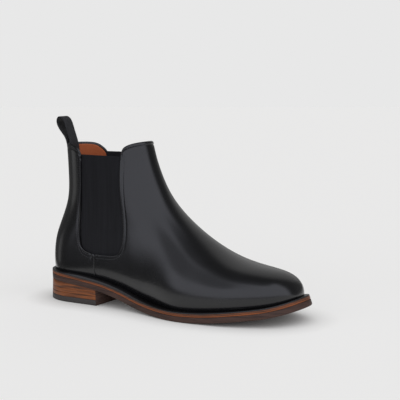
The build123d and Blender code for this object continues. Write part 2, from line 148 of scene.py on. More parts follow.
# ---------------- curves
def spline(points, count=200):
    """Natural cubic spline through points, sampled evenly along its length."""
    p = np.array(points, float)
    t = np.r_[0, np.cumsum(np.linalg.norm(np.diff(p, axis=0), axis=1))]
    n = len(p)
    h = np.diff(t)
    a = np.eye(n)
    b = np.zeros_like(p)
    for i in range(1, n - 1):
        a[i, i - 1:i + 2] = h[i - 1], 2 * (h[i - 1] + h[i]), h[i]
        b[i] = 6 * ((p[i + 1] - p[i]) / h[i] - (p[i] - p[i - 1]) / h[i - 1])
    m = np.linalg.solve(a, b)
    fine = np.linspace(0, t[-1], 8 * count)
    k = np.clip(np.searchsorted(t, fine) - 1, 0, n - 2)
    u = (fine - t[k])[:, None]
    v = (t[k + 1] - fine)[:, None]
    hk = h[k][:, None]
    curve = (m[k] * v ** 3 + m[k + 1] * u ** 3) / (6 * hk)
    curve += (p[k] / hk - m[k] * hk / 6) * v + (p[k + 1] / hk - m[k + 1] * hk / 6) * u
    return even(curve, count)


def even(curve, count):
    """A polyline sampled again at even steps of its length."""
    curve = np.asarray(curve, float)
    length = np.r_[0, np.cumsum(np.linalg.norm(np.diff(curve, axis=0), axis=1))]
    steps = np.linspace(0, length[-1], count)
    return np.stack([np.interp(steps, length, curve[:, i]) for i in range(curve.shape[1])], 1)


def graph(points):
    """A smooth curve through (position, value) points, as a function of position."""
    samples = spline(points)
    return lambda x: np.interp(x, samples[:, 0], samples[:, 1])


feather = graph(FEATHER_POINTS)
outer_breadth = graph(OUTER_POINTS)
inner_breadth = graph(INNER_POINTS)
foot_axis = graph(AXIS_POINTS)


def ease(t):
    """0 up to t = 0, 1 from t = 1, and smooth in between."""
    t = np.clip(t, 0, 1)
    return t * t * (3 - 2 * t)


def waist_share(x, start, rise, end, fall):
    """1 along the boot's waist, easing to 0 towards the heel's back and the ball."""
    return ease((x - start) / rise) * (1 - ease((x - end) / fall))


def rounding(distance, length, power):
    """Share of the full breadth at a distance behind a rounded end."""
    return np.sqrt(np.maximum(1 - (1 - np.clip(distance / length, 0, 1)) ** power, 0))


# ---------------- the upper's surface
class Upper:
    """The leather's outer face.

    A point has a share, from the sole (0) to the top (1), and a turn, from the back (0) along
    the outer side to the front (pi) and along the inner side to the back again (2 pi).
    """

    def __init__(self):
        self.back = spline(HEEL_POINTS)
        self.front = spline(INSTEP_POINTS)
        above_toe = self.front[self.front[:, 1] > 22]
        self.top = above_toe[np.argsort(above_toe[:, 0])]

    def back_x(self, z):
        """X of the back profile at a height."""
        return np.interp(z, self.back[:, 1], self.back[:, 0])

    def front_x(self, z):
        """X of the front profile at a height."""
        return np.interp(z, self.front[:, 1], self.front[:, 0])

    def ends(self, share):
        """X and Z on the back profile, and X and Z on the front one, at a share of their length."""
        steps = np.linspace(0, 1, len(self.back))
        return [np.interp(share, steps, profile[:, i])
                for profile in (self.back, self.front) for i in (0, 1)]

    def breadth(self, x, z, side):
        """Half the breadth on one side of the foot's axis."""
        heel = rounding(x - self.back_x(z), HEEL_LENGTH + 16 * ease((z - 30) / 110), HEEL_POWER)
        # the foot is widest a little above the welt, domed above that and drawn in below it
        low, high = feather(x), np.interp(x, self.top[:, 0], self.top[:, 1])
        waist = waist_share(x, *UPPER_WAIST)
        widest = low + np.minimum((0.2 + 0.08 * waist) * (high - low), 14 + 6 * waist)
        rise = np.clip((z - widest) / np.maximum(high - widest, 0.5), 0, 1)
        dome = np.sqrt(1 - rise ** (2.1 + 0.5 * ease((x - 190) / 80)))
        drawn_in = 0.045 + 0.05 * waist
        tuck = 1 - drawn_in * np.clip((widest - z) / (widest - low), 0, 1.3) ** 2
        toe_x = self.front_x(np.minimum(z, 24))
        half = np.where(side < 0, outer_breadth(x), inner_breadth(x))
        foot = half * heel * dome * tuck * rounding(toe_x - x, TOE_LENGTH, TOE_POWER)
        # the shaft is an oval, and the foot eases into it with height
        shaft = SHAFT_HALF_WIDTH * heel * rounding(self.front_x(z) - x, SHAFT_LENGTH, SHAFT_POWER)
        return foot + (shaft - foot) * ease((z - 34) / 100)

    def point(self, share, turn):
        """Points of the surface, as an array of X, Y, Z."""
        share, turn = np.broadcast_arrays(share, turn)
        bx, bz, fx, fz = self.ends(share)
        along = (1 - np.cos(turn)) / 2
        x = bx + (fx - bx) * along
        z = bz + (fz - bz) * along
        side = np.where(np.mod(turn, 2 * math.pi) <= math.pi, LATERAL, MEDIAL)
        centre = foot_axis(x) * (1 - ease(z / 130)) * ease(along * 3)
        return np.stack([x, centre + side * self.breadth(x, z, side), z], -1)

    def place(self, x, z):
        """Share and turn, on the outer side, of points of the side view."""
        x, z = np.atleast_1d(np.asarray(x, float)), np.atleast_1d(np.asarray(z, float))
        low, high = np.zeros_like(x), np.ones_like(x)
        for _ in range(40):                       # halves the stretch of shares that is left
            share = (low + high) / 2
            bx, bz, fx, fz = self.ends(share)
            above = (fx - bx) * (z - bz) - (fz - bz) * (x - bx) > 0
            low, high = np.where(above, share, low), np.where(above, high, share)
        along = ((x - bx) * (fx - bx) + (z - bz) * (fz - bz)) / ((fx - bx) ** 2 + (fz - bz) ** 2)
        return share, np.arccos(1 - 2 * np.clip(along, 0, 1))

    def clip_to_profile(self, curve):
        """The stretch of a side view curve between the back and front profiles."""
        dense = even(curve, 600)
        first, last = self.back_x(dense[:, 1]), self.front_x(dense[:, 1])
        inside = dense[(dense[:, 0] > first) & (dense[:, 0] < last)]
        low_z, high_z = inside[0, 1], inside[-1, 1]
        if dense[0, 0] <= first[0]:
            inside = np.vstack([[[self.back_x(low_z), low_z]], inside])
        if dense[-1, 0] >= last[-1]:
            inside = np.vstack([inside, [[self.front_x(high_z), high_z]]])
        return inside

    def normal(self, share, turn):
        """Outward normals, from small steps over the surface."""
        d = 1e-3
        across = self.point(share, turn + d) - self.point(share, turn - d)
        up = self.point(np.clip(share + d, 0, 1), turn) - self.point(np.clip(share - d, 0, 1), turn)
        n = np.cross(across, up)
        n /= np.maximum(np.linalg.norm(n, axis=-1, keepdims=True), 1e-9)
        return n


surface = Upper()


# ---------------- meshes
def to_frame(points):
    """Shoemaker's millimetres to metres in the frame."""
    moved = np.asarray(points, float) * MM
    moved[..., 0] += SOLE_BOX[0][0] - HEEL_BACK_X * MM
    moved[..., 1] += (SOLE_BOX[0][1] + SOLE_BOX[1][1]) / 2 - SOLE_MIDDLE_Y * MM
    return moved


def make_object(name, points, faces, mat):
    """Smooth-shaded object from points in shoemaker's millimetres, with doubled points merged."""
    mesh = bpy.data.meshes.new(name)
    corners = [tuple(int(i) for i in face) for face in faces]
    mesh.from_pydata([tuple(p) for p in to_frame(points)], [], corners)
    mesh.validate()
    work = bmesh.new()
    work.from_mesh(mesh)
    bmesh.ops.remove_doubles(work, verts=work.verts, dist=2e-6)
    bmesh.ops.dissolve_degenerate(work, edges=work.edges, dist=1e-6)
    bmesh.ops.recalc_face_normals(work, faces=work.faces)
    work.to_mesh(mesh)
    work.free()
    mesh.shade_smooth()
    obj = bpy.data.objects.new(name, mesh)
    bpy.context.scene.collection.objects.link(obj)
    mesh.materials.append(mat)
    return obj


def own(obj, node):
    """Hang a piece on the boot's empty, and hide the CAD node it stands in for."""
    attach(obj, "boot")
    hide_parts(node)


def grid_faces(rows, columns, start=0, closed=False):
    """Quads between rows of points; `closed` joins each row's end to its start."""
    faces = []
    for i in range(rows - 1):
        for j in range(columns if closed else columns - 1):
            k = (j + 1) % columns
            a, b = start + i * columns + j, start + i * columns + k
            faces.append((a, b, b + columns, a + columns))
    return faces


def sheet_faces(m, n):
    """Faces of a sheet with thickness: two grids of m rows by n points, joined round their rims."""
    faces = grid_faces(m, n) + [f[::-1] for f in grid_faces(m, n, m * n)]
    rim = ([j for j in range(n)] + [i * n + n - 1 for i in range(1, m)]
           + [(m - 1) * n + j for j in range(n - 2, -1, -1)] + [i * n for i in range(m - 2, 0, -1)])
    for a, b in zip(rim, rim[1:] + rim[:1]):
        faces.append((b, a, a + m * n, b + m * n))
    return faces


def blend_edges(top, bottom, left, right):
    """Grid of (share, turn) filled in smoothly between four edges of matching lengths."""
    r = np.linspace(0, 1, len(top))[None, :, None]
    t = np.linspace(0, 1, len(left))[:, None, None]
    grid = (1 - t) * top[None] + t * bottom[None] + (1 - r) * left[:, None] + r * right[:, None]
    corners = (1 - t) * (1 - r) * top[0] + (1 - t) * r * top[-1]
    corners = corners + t * (1 - r) * bottom[0] + t * r * bottom[-1]
    return grid - corners


def edge_steps(count, length):
    """Steps from 0 to 1 over `length` mm, close together near both ends."""
    close = EDGE_ROWS / length
    seam = np.linspace(close[-1], SEAM_SHARE, SEAM_ROWS)[1:]
    middle = np.linspace(seam[-1], 1 - seam[-1], count)[1:-1]
    return np.r_[close, seam, middle, 1 - seam[::-1], 1 - close[::-1]]


def resample(curve, steps):
    """A (share, turn) edge sampled at shares of its true length."""
    p = surface.point(curve[:, 0], curve[:, 1])
    length = np.r_[0, np.cumsum(np.linalg.norm(np.diff(p, axis=0), axis=1))]
    length /= length[-1]
    return np.stack([np.interp(steps, length, curve[:, i]) for i in (0, 1)], 1)


def mirrored(edge):
    """The same (share, turn) edge on the inner side."""
    return np.column_stack([edge[:, 0], 2 * math.pi - edge[:, 1]])


def path_on(points_xz, mirror=False):
    """Side view points as (share, turn), on the outer or the inner side."""
    path = np.stack(surface.place(points_xz[:, 0], points_xz[:, 1]), 1)
    return mirrored(path) if mirror else path


def seam_relief(distance):
    """Height of the leather beside a stitched edge: a soft bead, then a groove under the thread."""
    bead, groove = (height * np.exp(-((distance - place) / breadth) ** 2)
                    for height, place, breadth in (SEAM_BEAD, SEAM_GROOVE))
    return bead - groove


def panel(name, top, bottom, left, right, counts, depth, thickness, mat, sewn=""):
    """A piece of the upper between four (share, turn) edges, with rounded borders.

    `counts` are its plain rows and columns of mesh, more than 60 columns for a piece that goes
    round the boot. `depth` is how far its outer face lies under the surface, and `sewn` names
    the edges with stitching along them, by their first letters.
    """
    rows = edge_steps(counts[0], 120.0)
    columns = edge_steps(counts[1], 200.0 if counts[1] > 60 else 60.0)
    grid = blend_edges(resample(top, columns), resample(bottom, columns),
                       resample(left, rows), resample(right, rows))
    share, turn = grid[..., 0], grid[..., 1]
    outer, normal = surface.point(share, turn), surface.normal(share, turn)
    m, n = share.shape
    border = np.minimum.outer(*[np.minimum(np.arange(k), k - 1 - np.arange(k)) for k in (m, n)])
    round_off = np.choose(np.minimum(border, 3), EDGE_ROUNDING)[..., None]
    rise = np.zeros((m, n))
    beside_gore = ease((outer[..., 2] - GORE_BOTTOM_Z + 8) / 6)
    for letter, line in (("t", outer[:1]), ("l", outer[:, :1]), ("r", outer[:, -1:])):
        if letter in sewn:
            rise += seam_relief(np.linalg.norm(outer - line, axis=-1)) * beside_gore
    upper_face = outer - normal * (depth + round_off * thickness - rise[..., None])
    lower_face = outer - normal * (depth + (1 - round_off) * thickness)
    points = np.vstack([upper_face.reshape(-1, 3), lower_face.reshape(-1, 3)])
    return make_object(name, points, sheet_faces(m, n), mat)


# ---------------- sole outlines
def outline(turn, heel_x, grow):
    """X and Y of the foot's outline moved outwards, at turns from the heel along the outer side."""
    toe_x = INSTEP_POINTS[1][0] + grow
    x = heel_x + (toe_x - heel_x) * (1 - np.cos(turn)) / 2
    side = np.where(np.mod(turn, 2 * math.pi) <= math.pi, LATERAL, MEDIAL)
    half = np.where(side < 0, outer_breadth(x), inner_breadth(x)) + grow
    heel = rounding(x - heel_x, HEEL_LENGTH + grow, HEEL_POWER)
    return x, foot_axis(x) + side * half * (heel * rounding(toe_x - x, TOE_LENGTH + grow, TOE_POWER))


def sole_outline(grow, count):
    """Plan view of the foot's outline moved outwards, from the heel along the outer side."""
    heel_x = HEEL_POINTS[1][0] - grow * (HEEL_OVERHANG / WELT_OVERHANG if grow > 0 else 1)
    return np.stack(outline(np.linspace(0, 2 * math.pi, count, endpoint=False), heel_x, grow), 1)


welt_outline = sole_outline(WELT_OVERHANG, 800)
SOLE_MIDDLE_Y = (welt_outline[:, 1].min() + welt_outline[:, 1].max()) / 2


def sole_ring(grow, height, count=240, swell=0.0):
    """Closed loop round the foot, `grow` outside its outline and `height` above the welt's top.

    `swell` is added to the height at the waist.
    """
    x, y = sole_outline(grow, count).T
    slope = np.clip((feather(x + 1) - feather(x - 1)) / 2, -0.1, 0.5)
    z = feather(x) + height + swell * waist_share(x, *WELT_WAIST)
    return np.column_stack([x - height * slope, y, z])


def heel_ring(grow, height, count=72):
    """Loop round the heel behind its breast, at a height above the ground.

    With no height it follows the underside of the outsole.
    """
    level = HEEL_SEAT if height is None else height
    taper = HEEL_TAPER * (1 - np.clip(level, 0, HEEL_BLOCK) / HEEL_BLOCK)
    grow = WELT_OVERHANG - HEEL_INSET - taper + grow
    heel_x = HEEL_POINTS[1][0] - grow * HEEL_OVERHANG / WELT_OVERHANG - HEEL_RAKE * taper / HEEL_TAPER
    toe_x = INSTEP_POINTS[1][0] + grow
    last = math.acos(1 - 2 * (HEEL_BREAST_X - heel_x) / (toe_x - heel_x))
    x, y = outline(np.linspace(last, -last, count), heel_x, grow)
    z = feather(x) - WELT - OUTSOLE if height is None else np.full(count, float(height))
    return np.column_stack([x, y, z])


def stack(name, rings, mat, open_ring=False, hollow=False):
    """Solid built from loops one above the other: a closed tube if hollow, or else capped.

    A cap joins points of the loop that mirror each other: about its first point, or for an open
    ring about the middle of the loop.
    """
    n = len(rings[0])
    points = np.vstack(rings)
    faces = grid_faces(len(rings), n, closed=True)
    if hollow:
        last = (len(rings) - 1) * n
        faces += [(last + j, last + (j + 1) % n, (j + 1) % n, j) for j in range(n)]
    else:
        opposite = n - 1 if open_ring else n
        for start in (0, (len(rings) - 1) * n):
            for a in range(n // 2):
                quad = [start + i % n for i in (a, a + 1, opposite - a - 1, opposite - a)]
                faces.append(tuple(dict.fromkeys(quad)))
    return make_object(name, points, faces, mat)


# ---------------- materials
class Look:
    """A Principled material and its procedural detail, which may replace its plain values."""

    def __init__(self, name, colour, roughness, **inputs):
        self.mat = bpy.data.materials.new(name)
        self.mat.use_nodes = True
        self.nodes, self.links = self.mat.node_tree.nodes, self.mat.node_tree.links
        self.inputs = self.nodes["Principled BSDF"].inputs
        self.inputs["Base Color"].default_value = (*colour, 1)
        self.inputs["Roughness"].default_value = roughness
        for key, value in inputs.items():
            self.inputs[key.replace("_", " ")].default_value = value

    def texture(self, kind, scale, detail=3, stretch=(1, 1, 1), **values):
        """A noise, voronoi or wave texture on the object's own coordinates, in millimetres."""
        coords = self.nodes.new("ShaderNodeTexCoord")
        mapping = self.nodes.new("ShaderNodeMapping")
        mapping.inputs["Scale"].default_value = [1000 * s for s in stretch]
        self.links.new(coords.outputs["Object"], mapping.inputs["Vector"])
        node = self.nodes.new("ShaderNodeTex" + kind)
        self.links.new(mapping.outputs["Vector"], node.inputs["Vector"])
        node.inputs["Scale"].default_value = scale
        if "Detail" in node.inputs:
            node.inputs["Detail"].default_value = detail
        for key, value in values.items():
            setattr(node, key, value)
        return node.outputs["Distance" if kind == "Voronoi" else "Fac"]

    def ramp(self, source, stops, target="Base Color"):
        """Colours or greys along a texture's values, for one of the shader's inputs."""
        node = self.nodes.new("ShaderNodeValToRGB")
        self.links.new(source, node.inputs["Fac"])
        elements = node.color_ramp.elements
        while len(elements) < len(stops):
            elements.new(0.5)
        for element, (place, colour) in zip(elements, stops):
            element.position = place
            element.color = (*colour, 1) if isinstance(colour, tuple) else (colour, colour, colour, 1)
        self.links.new(node.outputs["Color"], self.inputs[target])

    def bump(self, source, distance, strength, below=None):
        """Bump `distance` mm high, on top of another bump if one is given."""
        node = self.nodes.new("ShaderNodeBump")
        node.inputs["Distance"].default_value = distance * MM
        node.inputs["Strength"].default_value = strength
        self.links.new(source, node.inputs["Height"])
        if below:
            self.links.new(below.outputs["Normal"], node.inputs["Normal"])
        self.links.new(node.outputs["Normal"], self.inputs["Normal"])
        return node


def material(name, colour, roughness, build, **inputs):
    """A material whose detail is added by `build`."""
    look = Look(name, colour, roughness, **inputs)
    build(look)
    return look.mat


def leather_detail(grain, depth, smoothest, roughest):
    """Pores `grain` mm apart and `depth` mm deep, faint creases and uneven polish of leather."""
    def build(look):
        pores = look.texture("Voronoi", 1.0 / grain)
        pitted = look.bump(pores, depth, 0.5)
        folds = look.texture("Noise", 0.05, 4)
        look.bump(folds, depth * 10, 0.4, pitted)
        polish = look.texture("Noise", 0.035, 5)
        look.ramp(polish, [(0.3, smoothest), (0.7, roughest)], "Roughness")
    return build


black_leather = material("black_leather", (0.005, 0.005, 0.0055), 0.34,
                         leather_detail(0.5, 0.02, 0.19, 0.28),
                         Specular_IOR_Level=0.4, Coat_Weight=0.25, Coat_Roughness=0.12)
rand_leather = material("rand_leather", (0.008, 0.007, 0.007), 0.35,
                        leather_detail(0.6, 0.03, 0.3, 0.42))
lining_leather = material("lining_leather", (0.38, 0.10, 0.034), 0.62,
                          leather_detail(0.7, 0.03, 0.55, 0.7), Specular_IOR_Level=0.15)


def knitted(look):
    """Uneven vertical cords of the woven elastic, crossed by fine threads."""
    cords = look.texture("Noise", 0.55, 3, (1, 1, 0.03))
    look.ramp(cords, [(0.35, (0.010, 0.010, 0.011)), (0.65, (0.0135, 0.0135, 0.015))])
    threads = look.texture("Wave", 0.6, 0, bands_direction="Z")
    look.bump(threads, 0.1, 0.5)


elastic = material("elastic", (0.011, 0.011, 0.012), 0.85, knitted, Specular_IOR_Level=0.2)


def twisted(look):
    """Twist of a sewing thread."""
    twist = look.texture("Wave", 0.9, 0, bands_direction="DIAGONAL")
    look.bump(twist, 0.05, 0.5)


# the thread's own dark grey is set lighter than the black leather, so it also paints the highlight along the
# stitched edges
thread = material("thread", (0.035, 0.035, 0.038), 0.4, twisted)


def woven(look):
    """Fine ribs along a woven strap, crossed by the weft."""
    ribs = look.texture("Wave", 0.30, 0, bands_direction="Y")
    weft = look.texture("Wave", 0.42, 0, bands_direction="Z")
    first = look.bump(ribs, 0.25, 0.8)
    look.bump(weft, 0.12, 0.6, first)
    twill = look.texture("Wave", 0.22, 0, bands_direction="DIAGONAL")
    look.ramp(twill, [(0.2, (0.006, 0.006, 0.0065)), (0.8, (0.017, 0.017, 0.018))])


webbing = material("webbing", (0.008, 0.008, 0.009), 0.55, woven, Specular_IOR_Level=0.4)


def edge_detail(colours):
    """Streaks along a stained leather edge."""
    def build(look):
        streak = look.texture("Noise", 0.35, 4, (0.10, 0.10, 1.6))
        look.ramp(streak, colours)
        look.bump(streak, 0.12, 0.5)
    return build


WELT_TONES = [(0.30, (0.055, 0.030, 0.020)), (0.5, (0.13, 0.050, 0.026)),
              (0.66, (0.18, 0.060, 0.026)), (0.78, (0.08, 0.037, 0.023))]
STRIPE_TONES = [(0.3, (0.15, 0.05, 0.02)), (0.6, (0.27, 0.08, 0.025)), (0.8, (0.17, 0.055, 0.022))]
SOLE_TONES = [(0.3, (0.030, 0.020, 0.017)), (0.55, (0.068, 0.038, 0.029)), (0.75, (0.042, 0.027, 0.022))]
HEEL_TONES = [(0.30, (0.055, 0.026, 0.015)), (0.46, (0.15, 0.050, 0.019)),
              (0.60, (0.24, 0.078, 0.024)), (0.76, (0.08, 0.034, 0.018))]
welt_edge = material("welt_edge", (0.1, 0.05, 0.03), 0.5, edge_detail(WELT_TONES), Specular_IOR_Level=0.18)
welt_stripe = material("welt_stripe", (0.15, 0.05, 0.02), 0.5, edge_detail(STRIPE_TONES),
                       Specular_IOR_Level=0.18)
sole_edge = material("sole_edge", (0.05, 0.04, 0.035), 0.55, edge_detail(SOLE_TONES), Specular_IOR_Level=0.15)
heel_breast = material("heel_breast", (0.02, 0.015, 0.013), 0.6, edge_detail(SOLE_TONES),
                       Specular_IOR_Level=0.1)
heel_edge = material("heel_edge", (0.12, 0.05, 0.03), 0.45, edge_detail(HEEL_TONES), Specular_IOR_Level=0.2)


def speckle(size, depth, *tones):
    """Irregular grains about `size` mm across, in several tones."""
    def build(look):
        grains = look.texture("Noise", 1.0 / size, 4)
        look.ramp(grains, [(0.35 + 0.3 * i / (len(tones) - 1), tone) for i, tone in enumerate(tones)])
        look.bump(grains, depth, 0.5)
    return build


def weave(look):
    """Plain weave: two sets of threads."""
    warp = look.texture("Wave", 0.5, 0, bands_direction="X")
    weft = look.texture("Wave", 0.5, 0, bands_direction="Z")
    first = look.bump(warp, 0.1, 0.5)
    look.bump(weft, 0.1, 0.5, first)


rubber = material("rubber", (0.03, 0.024, 0.021), 0.6,
                  speckle(1.5, 0.05, (0.024, 0.020, 0.018), (0.036, 0.029, 0.026)))
steel = material("steel", (0.5, 0.5, 0.5), 0.35,
                 speckle(2.0, 0.02, (0.42, 0.42, 0.42), (0.55, 0.55, 0.55)), Metallic=1.0)
canvas = material("canvas", (0.5, 0.45, 0.36), 0.9, weave)
stiffener = material("stiffener", (0.008, 0.008, 0.008), 1.0, weave, Specular_IOR_Level=0.1)
board = material("board", (0.3, 0.19, 0.1), 0.8,
                 speckle(3.0, 0.05, (0.26, 0.16, 0.085), (0.34, 0.22, 0.12)))
cork = material("cork", (0.3, 0.17, 0.08), 0.9,
                speckle(1.2, 0.2, (0.16, 0.08, 0.035), (0.30, 0.17, 0.08), (0.40, 0.25, 0.13)))


# ---------------- panels of the upper
def corner_curve(side_points):
    """Round corner and straight run of a cut beside the elastic, then down the side seam."""
    seam_x = side_points[-1][0]
    upper_run = spline(side_points, 300)
    return even(np.vstack([upper_run, [(seam_x, float(feather(seam_x)) - TUCK_IN)]]), 400)


FRONT_CUT = corner_curve([VAMP_TOP[0]] + GORE_FRONT[1:]
                         + [GORE_FRONT_CORNER, (90, GORE_BOTTOM_Z + 0.3), (SEAM_X - SEAM_LAP, GORE_BOTTOM_Z)])
BACK_CUTS = [corner_curve([top[-1]] + GORE_BACK[1:] + [GORE_BACK_CORNER, (SEAM_X + SEAM_LAP, GORE_BOTTOM_Z)])
             for top in (QUARTER_TOP, INNER_QUARTER_TOP)]


def lowered(points, drop):
    """Side view points moved down."""
    return [(x, z - drop) for x, z in points]


def around_front(curve):
    """Edge that runs along a side view curve to the front and back along the inner side."""
    half = surface.clip_to_profile(curve)
    return np.vstack([path_on(half), path_on(half[::-1], True)])


def welt_line(first, last):
    """Side view line of the upper's foot, tucked in behind the welt."""
    x = np.linspace(first, last, 400)
    return np.column_stack([x, feather(x) - TUCK_IN])


def vamp_edges(drop):
    """Top, foot, outer and inner edge of the vamp, its top lowered."""
    top_curve = spline(lowered(VAMP_TOP, drop), 300)
    cut = np.vstack([top_curve[:1], FRONT_CUT[FRONT_CUT[:, 1] <= top_curve[0, 1]]])
    return (around_front(top_curve), around_front(welt_line(SEAM_X - SEAM_LAP, 316)),
            path_on(cut), path_on(cut, True))


def quarter_foot():
    """Side view line of a quarter's foot."""
    return surface.clip_to_profile(welt_line(-12, SEAM_X + SEAM_LAP))


def quarter_edges(mirror):
    """Top, foot, back and front edge of a quarter."""
    top_curve = surface.clip_to_profile(spline(INNER_QUARTER_TOP if mirror else QUARTER_TOP, 300))
    z = np.linspace(top_curve[0, 1], feather(3.0) - TUCK_IN, 200)
    share, _ = surface.place(surface.back_x(z), z)
    back = np.column_stack([share, np.zeros_like(share)])
    return (path_on(top_curve, mirror), path_on(quarter_foot(), mirror),
            mirrored(back) if mirror else back, path_on(BACK_CUTS[mirror], mirror))


def behind(edge):
    """The same edge on the inner side, reached round the back."""
    return np.column_stack([edge[:, 0], -edge[:, 1]])


vamp = panel("vamp_leather", *vamp_edges(0), (70, 150), 0, LEATHER, black_leather, "tlr")
own(vamp, "vamp")

SIDES = (("lateral", False), ("medial", True))
for side_name, mirror in SIDES:
    quarter = panel("quarter_leather_" + side_name, *quarter_edges(mirror), (70, 40), 0, LEATHER,
                    black_leather, "tr")
    own(quarter, "quarter_" + side_name)


# ---------------- stitching
STITCH_LENGTH = 1.9
STITCH_PITCH = 2.5
STITCH_RADIUS = 0.26
STITCH_SIDES = 6
STITCH_SHAPE = [(0.0, 0.15), (0.12, 0.7), (0.3, 1.0), (0.7, 1.0), (0.88, 0.7), (1.0, 0.15)]  # place, size
STITCH_ROWS = (("near", 1.3), ("far", 4.2))     # beside the elastic, mm from the leather's edge
HEM_ROW = 3.0                                   # along the top edges
SEAM_CLEAR = 0.8                                # stitches end this far from the side seam


def beside(curve, distance):
    """A side view curve moved sideways, to the left of its direction."""
    along = np.gradient(curve, axis=0)
    along /= np.linalg.norm(along, axis=1)[:, None]
    return curve + distance * np.stack([-along[:, 1], along[:, 0]], 1)


def stitches(name, edge):
    """A row of stitches along a (share, turn) path, half sunk in the leather."""
    centre = surface.point(edge[:, 0], edge[:, 1])
    outward = surface.normal(edge[:, 0], edge[:, 1])
    length = np.r_[0, np.cumsum(np.linalg.norm(np.diff(centre, axis=0), axis=1))]

    def along_row(values, place):
        """Points or normals of the row at a length along it."""
        return np.array([np.interp(place, length, values[:, i]) for i in range(3)])

    points, faces = [], []
    for start in np.arange(0.8, length[-1] - STITCH_LENGTH - 0.4, STITCH_PITCH):
        first = len(points)
        for step, size in STITCH_SHAPE:
            place = start + step * STITCH_LENGTH
            middle = along_row(centre, place)
            ahead = along_row(centre, place + 0.4) - middle
            ahead /= max(np.linalg.norm(ahead), 1e-9)
            up = along_row(outward, place)
            side = np.cross(ahead, up)
            radius = STITCH_RADIUS * size
            middle = middle + up * ((size - 1) * STITCH_RADIUS * 0.8)       # its ends dip in
            for turn in np.arange(STITCH_SIDES) * math.pi / 3:
                points.append(middle + radius * (math.cos(turn) * side + math.sin(turn) * up))
        faces += grid_faces(len(STITCH_SHAPE), STITCH_SIDES, first, closed=True)
        faces.append(tuple(range(first, first + STITCH_SIDES)))
        faces.append(tuple(range(len(points) - STITCH_SIDES, len(points))))
    row = make_object(name, np.array(points), faces, thread)
    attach(row, "boot")


front_seam = FRONT_CUT[FRONT_CUT[:, 0] > SEAM_X + SEAM_CLEAR]
for side_name, mirror in SIDES:
    back_seam = BACK_CUTS[mirror][BACK_CUTS[mirror][:, 0] < SEAM_X - SEAM_CLEAR]
    for row, distance in STITCH_ROWS:
        stitches("stitches_front_" + row + "_" + side_name, path_on(beside(front_seam, distance), mirror))
        stitches("stitches_back_" + row + "_" + side_name, path_on(beside(back_seam, -distance), mirror))
    hem = beside(spline(INNER_QUARTER_TOP if mirror else QUARTER_TOP, 300), -HEM_ROW)
    hem = hem[(hem[:, 0] > 30) & (hem[:, 0] < QUARTER_TOP[-1][0] - 4)]
    stitches("stitches_quarter_hem_" + side_name, path_on(hem, mirror))
vamp_hem = spline(VAMP_TOP, 300)
hem = surface.clip_to_profile(beside(vamp_hem[vamp_hem[:, 0] > VAMP_TOP[0][0] + 3], -HEM_ROW))
stitches("stitches_vamp_hem", np.vstack([path_on(hem), path_on(hem[::-1][1:], True)]))


# ---------------- elastic
RIB_PITCH = 1.25
RIB_HEIGHT = 0.22
RIB_STEPS = 6
GORE_ROWS = 60


def gore(side_name, mirror):
    """Ribbed elastic of one side, its edges under the leather."""
    back = even(np.array(GORE_BACK) - (GORE_OVERLAP, 0), GORE_ROWS)
    front = even(np.array(GORE_FRONT) + (GORE_OVERLAP, 0), GORE_ROWS)
    bottom_z = GORE_BOTTOM_Z - GORE_OVERLAP
    ribs = int((front[0, 0] - back[0, 0]) / RIB_PITCH)
    columns = np.linspace(0, 1, ribs * RIB_STEPS + 1)
    z = GORE_TOP_Z + (bottom_z - GORE_TOP_Z) * np.linspace(0, 1, GORE_ROWS)
    left = np.interp(z, back[::-1, 1], back[::-1, 0])
    right = np.interp(z, front[::-1, 1], front[::-1, 0])
    x = left[:, None] + (right - left)[:, None] * columns
    share, turn = path_on(np.column_stack([x.ravel(), np.repeat(z, len(columns))]), mirror).T
    outer, normal = surface.point(share, turn), surface.normal(share, turn)
    wave = RIB_HEIGHT * (np.abs(np.sin(math.pi * ribs * columns)) - 1)
    rise = np.tile(wave, GORE_ROWS)[:, None]
    face = outer - normal * (MIDDLE - rise)
    inside = outer - normal * (MIDDLE + ELASTIC + rise)
    obj = make_object("elastic_" + side_name, np.vstack([face, inside]),
                      sheet_faces(GORE_ROWS, len(columns)), elastic)
    own(obj, "gore_" + side_name)


for side_name, mirror in SIDES:
    gore(side_name, mirror)


# ---------------- linings
front_lining = panel("front_lining", *vamp_edges(LINING_DROP), (60, 110), LINING_DEPTH, LINING,
                     lining_leather)
own(front_lining, "vamp_lining")


def lining_side(top, cut):
    """Top edge, foot and front cut of one side of the back lining, drawn on the outer side."""
    top_curve = surface.clip_to_profile(spline(lowered(top, LINING_DROP), 300))
    front = cut[cut[:, 1] < top[-1][1] - LINING_DROP].copy()
    front[:, 0] -= LINING_SHORT * ease((front[:, 1] - 100) / 50)
    return path_on(top_curve), path_on(quarter_foot()), path_on(front)


outer_top, outer_foot, outer_cut = lining_side(QUARTER_TOP, BACK_CUTS[0])
inner_top, inner_foot, inner_cut = lining_side(INNER_QUARTER_TOP, BACK_CUTS[1])
back_lining = panel(
    "back_lining", np.vstack([outer_top[::-1], behind(inner_top[1:])]),
    np.vstack([outer_foot[::-1], behind(inner_foot[1:])]),
    outer_cut, behind(inner_cut), (60, 90), LINING_DEPTH, LINING, lining_leather)
own(back_lining, "quarter_lining")


